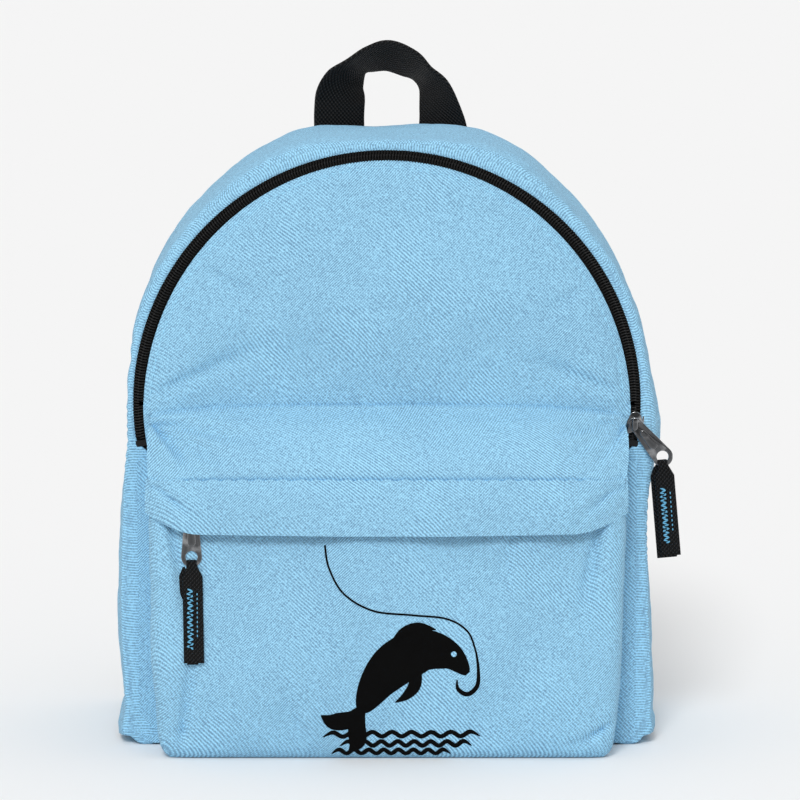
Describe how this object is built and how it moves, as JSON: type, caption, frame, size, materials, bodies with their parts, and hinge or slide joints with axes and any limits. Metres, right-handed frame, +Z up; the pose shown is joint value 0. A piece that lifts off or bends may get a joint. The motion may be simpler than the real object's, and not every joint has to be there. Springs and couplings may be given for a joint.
{
  "type": "small zipped backpack",
  "caption": "Small soft backpack: arched main compartment with a zip round its front flap, zipped front pocket, carrying handle and adjustable shoulder straps.",
  "frame": {"origin": "middle of the base, on the surface the bag stands on", "axes": "+Z up, -Y out of the front, +Y towards the wearer's back, +X to the right as seen from the front"},
  "size_m": [0.2639, 0.1648, 0.3299],
  "materials": {
    "shell_cloth": "woven polyester with a fine diagonal rib, matt",
    "lining_cloth": "coated polyester, slight sheen",
    "foam": "closed-cell foam, matt",
    "zip_tape": "woven tape, matt",
    "zip_coil": "nylon coil, satin",
    "zip_metal": "dark nickel plate, polished",
    "pull_webbing": "woven webbing, matt",
    "handle_webbing": "ribbed woven webbing, matt",
    "strap_webbing": "ribbed woven webbing, matt",
    "lock_plastic": "moulded acetal, satin",
    "strap_lining": "open mesh over foam, matt",
    "binding": "folded woven tape, matt"
  },
  "bodies": {
    "bag": {"back_panel": "shell_cloth", "back_foam": "foam", "back_lining": "lining_cloth", "top_gusset": "shell_cloth", "side_gusset_left": "shell_cloth", "side_gusset_right": "shell_cloth", "bottom_panel": "shell_cloth", "front_lower_panel": "shell_cloth", "rear_seam_binding": "binding", "front_seam_binding": "binding", "main_zip_outer_tape": "zip_tape", "main_zip_outer_coil": "zip_coil", "main_zip_end_tapes": "zip_tape", "main_zip_end_coils": "zip_coil", "main_zip_stops": "zip_metal", "pocket_top": "shell_cloth", "pocket_front": "shell_cloth", "pocket_side_left": "shell_cloth", "pocket_side_right": "shell_cloth", "pocket_bottom": "shell_cloth", "pocket_zip_upper_tape": "zip_tape", "pocket_zip_upper_coil": "zip_coil", "pocket_zip_lower_tape": "zip_tape", "pocket_zip_lower_coil": "zip_coil", "pocket_zip_stops": "zip_metal", "handle_sewn_ends": "handle_webbing", "strap_yoke": "shell_cloth", "strap_webbing_left": "strap_webbing", "strap_webbing_right": "strap_webbing", "strap_anchor_left": "shell_cloth", "strap_anchor_right": "shell_cloth"},
    "front_flap": {"front_flap_panel": "shell_cloth", "main_zip_flap_tape": "zip_tape", "main_zip_flap_coil": "zip_coil"},
    "main_slider": {"main_slider": "zip_metal"},
    "main_puller": {"main_puller": "zip_metal"},
    "main_pull": {"main_pull": "pull_webbing"},
    "storm_flap": {"storm_flap": "shell_cloth"},
    "pocket_slider": {"pocket_slider": "zip_metal"},
    "pocket_puller": {"pocket_puller": "zip_metal"},
    "pocket_pull": {"pocket_pull": "pull_webbing"},
    "grab_handle": {"grab_handle": "handle_webbing"},
    "strap_left": {"strap_face_left": "shell_cloth", "strap_foam_left": "foam", "strap_lining_left": "strap_lining", "strap_binding_left": "binding", "lock_loop_left": "strap_webbing"},
    "ladder_lock_left": {"ladder_lock_left": "lock_plastic"},
    "strap_right": {"strap_face_right": "shell_cloth", "strap_foam_right": "foam", "strap_lining_right": "strap_lining", "strap_binding_right": "binding", "lock_loop_right": "strap_webbing"},
    "ladder_lock_right": {"ladder_lock_right": "lock_plastic"}
  },
  "joints": [
    {"name": "front_flap_fold", "type": "hinge", "parent": "bag", "child": "front_flap", "pos_m": [0, -0.0549, 0.165], "axis": [1, 0, 0], "range_deg": [0, 90]},
    {"name": "main_slider_travel", "type": "hinge", "parent": "bag", "child": "main_slider", "pos_m": [0, -0.054, 0.165], "axis": [0, -1, 0], "range_deg": [0, 189]},
    {"name": "main_puller_hang", "type": "hinge", "parent": "main_slider", "child": "main_puller", "pos_m": [0.11764, -0.0572, 0.15574], "axis": [0, -1, 0], "range_deg": [-270, 0]},
    {"name": "main_pull_hang", "type": "hinge", "parent": "main_puller", "child": "main_pull", "pos_m": [0.13081, -0.0572, 0.14004], "axis": [0, -1, 0], "range_deg": [0, 71.5]},
    {"name": "pocket_slider_travel", "type": "slide", "parent": "bag", "child": "pocket_slider", "axis": [1, 0, 0], "range_m": [0, 0.1828]},
    {"name": "pocket_puller_swing", "type": "hinge", "parent": "pocket_slider", "child": "pocket_puller", "pos_m": [-0.0914, -0.0906, 0.118], "axis": [1, 0, 0], "range_deg": [-12, 0]},
    {"name": "pocket_pull_swing", "type": "hinge", "parent": "pocket_puller", "child": "pocket_pull", "pos_m": [-0.0914, -0.0906, 0.09365], "axis": [1, 0, 0], "range_deg": [-75, 0]},
    {"name": "storm_flap_lift", "type": "hinge", "parent": "bag", "child": "storm_flap", "pos_m": [0, -0.0883, 0.134], "axis": [1, 0, 0], "range_deg": [-80, 0]},
    {"name": "grab_handle_fold", "type": "hinge", "parent": "bag", "child": "grab_handle", "pos_m": [0, 0.057, 0.2905], "axis": [1, 0, 0], "range_deg": [-50, 50], "stiffness_Nm_per_rad": 0.02},
    {"name": "strap_left_swing", "type": "hinge", "parent": "bag", "child": "strap_left", "pos_m": [-0.034, 0.0563, 0.2513], "axis": [1, 0, 0], "range_deg": [0, 30], "deforming": ["strap_webbing_left"]},
    {"name": "ladder_lock_left_tilt", "type": "hinge", "parent": "strap_left", "child": "ladder_lock_left", "pos_m": [-0.07, 0.0598, 0.088], "axis": [0.8729, 0, -0.4878], "range_deg": [0, 40]},
    {"name": "strap_right_swing", "type": "hinge", "parent": "bag", "child": "strap_right", "pos_m": [0.034, 0.0563, 0.2513], "axis": [1, 0, 0], "range_deg": [0, 30], "deforming": ["strap_webbing_right"]},
    {"name": "ladder_lock_right_tilt", "type": "hinge", "parent": "strap_right", "child": "ladder_lock_right", "pos_m": [0.07, 0.0598, 0.088], "axis": [0.8729, 0, 0.4878], "range_deg": [0, 40]}
  ],
  "couplings": [
    {"joint": "main_puller_hang", "follows": "main_slider_travel", "ratio": -1.4233},
    {"joint": "main_pull_hang", "follows": "main_slider_travel", "ratio": 0.37566}
  ]
}
